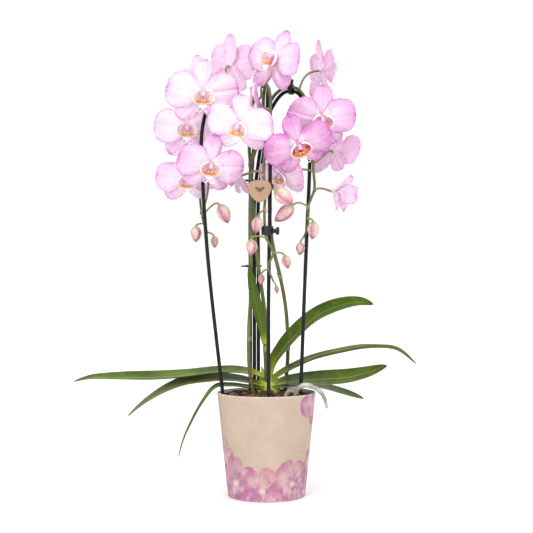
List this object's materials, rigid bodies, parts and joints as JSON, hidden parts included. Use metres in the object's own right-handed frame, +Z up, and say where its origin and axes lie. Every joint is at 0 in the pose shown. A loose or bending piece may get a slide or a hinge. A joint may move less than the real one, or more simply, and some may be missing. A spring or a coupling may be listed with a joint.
{
  "type": "potted orchid",
  "caption": "Potted moth orchid: pink blooms and buds cascade from spikes trained over black wire hoops, above strap leaves in a tapered card-brown pot with a floral print",
  "frame": {"origin": "middle of the pot's flat underside", "axes": "+Z up along the pot's axis; the plant's front, where most blooms face, looks along -Y; +X is the viewer's right"},
  "size_m": [0.4168, 0.1524, 0.5645],
  "materials": {
    "card": "matt, fine horizontal grain, with a printed pink flower pattern",
    "black_plastic": "black, satin",
    "wire": "black coated wire, satin",
    "bark": "rough red-brown bark chips",
    "crown": "smooth yellow-green sheaths",
    "leaf": "leathery, satin, dark green with paler midrib",
    "bract": "olive brown with a green margin",
    "stem": "smooth olive stems, with pink and cream buds",
    "root": "silver-grey, dull",
    "petal": "soft, pale pink with deeper pink rims and veins",
    "lip": "white and pink with yellow and crimson markings",
    "tag": "light wood, matt"
  },
  "bodies": {
    "root": {"bark": "bark", "bloom_centre_crest": "petal", "bloom_centre_front": "petal", "bloom_centre_low": "petal", "bloom_centre_side": "petal", "bloom_left_back": "petal", "bloom_left_crest": "petal", "bloom_left_low": "petal", "bloom_left_lowest": "petal", "bloom_left_middle": "petal", "bloom_left_top": "petal", "bloom_right_back": "petal", "bloom_right_crest": "petal", "bloom_right_front": "petal", "bloom_right_inner": "petal", "bloom_right_opening": "petal", "bloom_right_top": "petal", "clip_knob": "black_plastic", "clip_left": "black_plastic", "clip_right": "black_plastic", "clip_tag": "black_plastic", "crown": "crown", "grow_pot": "black_plastic", "hoop_front": "wire", "hoop_left": "wire", "hoop_right": "wire", "leaf_bract": "bract", "leaf_left_drooping": "leaf", "leaf_left_hanging": "leaf", "leaf_left_long": "leaf", "leaf_right_broad": "leaf", "leaf_right_high": "leaf", "leaf_right_long": "leaf", "leaf_right_low": "leaf", "lip_centre_crest": "lip", "lip_centre_front": "lip", "lip_centre_low": "lip", "lip_centre_side": "lip", "lip_left_back": "lip", "lip_left_crest": "lip", "lip_left_low": "lip", "lip_left_lowest": "lip", "lip_left_middle": "lip", "lip_left_top": "lip", "lip_right_back": "lip", "lip_right_crest": "lip", "lip_right_front": "lip", "lip_right_inner": "lip", "lip_right_top": "lip", "pot": "card", "root_hanging": "root", "root_short": "root", "spike_centre": "stem", "spike_left": "stem", "spike_right": "stem", "tag": "tag", "tie_high": "black_plastic", "tie_low": "black_plastic", "tie_middle": "black_plastic"}
  },
  "joints": []
}
